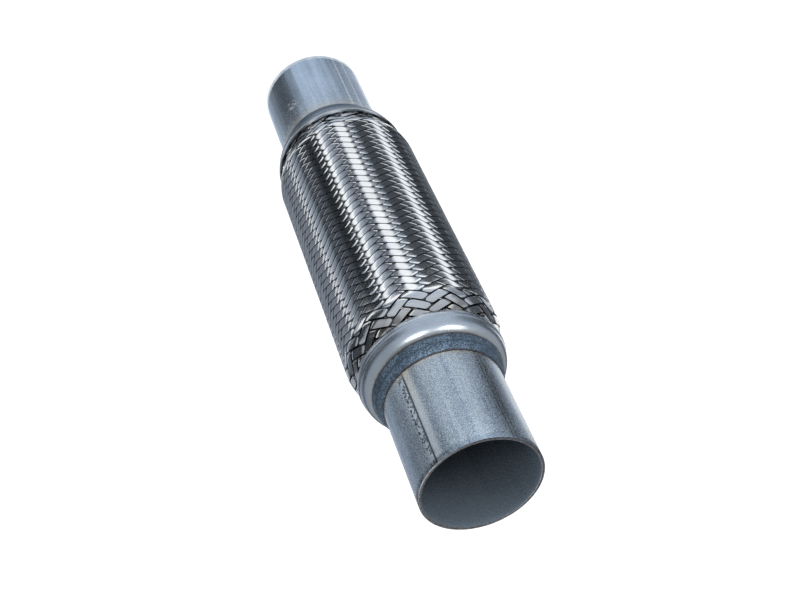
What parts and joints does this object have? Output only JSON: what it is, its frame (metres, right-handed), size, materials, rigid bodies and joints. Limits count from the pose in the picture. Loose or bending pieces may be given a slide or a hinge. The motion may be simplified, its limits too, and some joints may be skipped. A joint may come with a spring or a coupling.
{
  "type": "exhaust flex pipe",
  "caption": "Flexible exhaust coupling: a braided bellows section with a pressed cap, a weld bead and a plain pipe end at each side.",
  "frame": {"origin": "middle of the lower mouth, where the pipe stands", "axes": "+Z along the pipe's axis, from the lower mouth to the upper one; the pipe bends about +X"},
  "size_m": [0.0728, 0.0728, 0.3],
  "materials": {
    "pipe_steel": "mottled blue-grey coated steel, half dull",
    "weld_metal": "matt granular blue-grey, with thin brown heat lines at both edges",
    "cap_steel": "satin, tinted brown beside the weld",
    "strip_steel": "bright flat strip, brushed lengthwise",
    "bellows_steel": "smooth bright sheet",
    "liner_steel": "smooth wound strip"
  },
  "bodies": {
    "lower_end": {"lower_nipple": "pipe_steel", "lower_weld_bead": "weld_metal", "lower_end_cap": "cap_steel", "outer_braid": "strip_steel", "bellows": "bellows_steel", "interlock_liner": "liner_steel"},
    "upper_end": {"upper_nipple": "pipe_steel", "upper_weld_bead": "weld_metal", "upper_end_cap": "cap_steel"}
  },
  "joints": [
    {"name": "flex_bend", "type": "hinge", "parent": "lower_end", "child": "upper_end", "pos_m": [0, 0, 0.15], "axis": [1, 0, 0], "range_deg": [-10, 10], "stiffness_Nm_per_rad": 40, "deforming": ["outer_braid", "bellows", "interlock_liner"]}
  ]
}
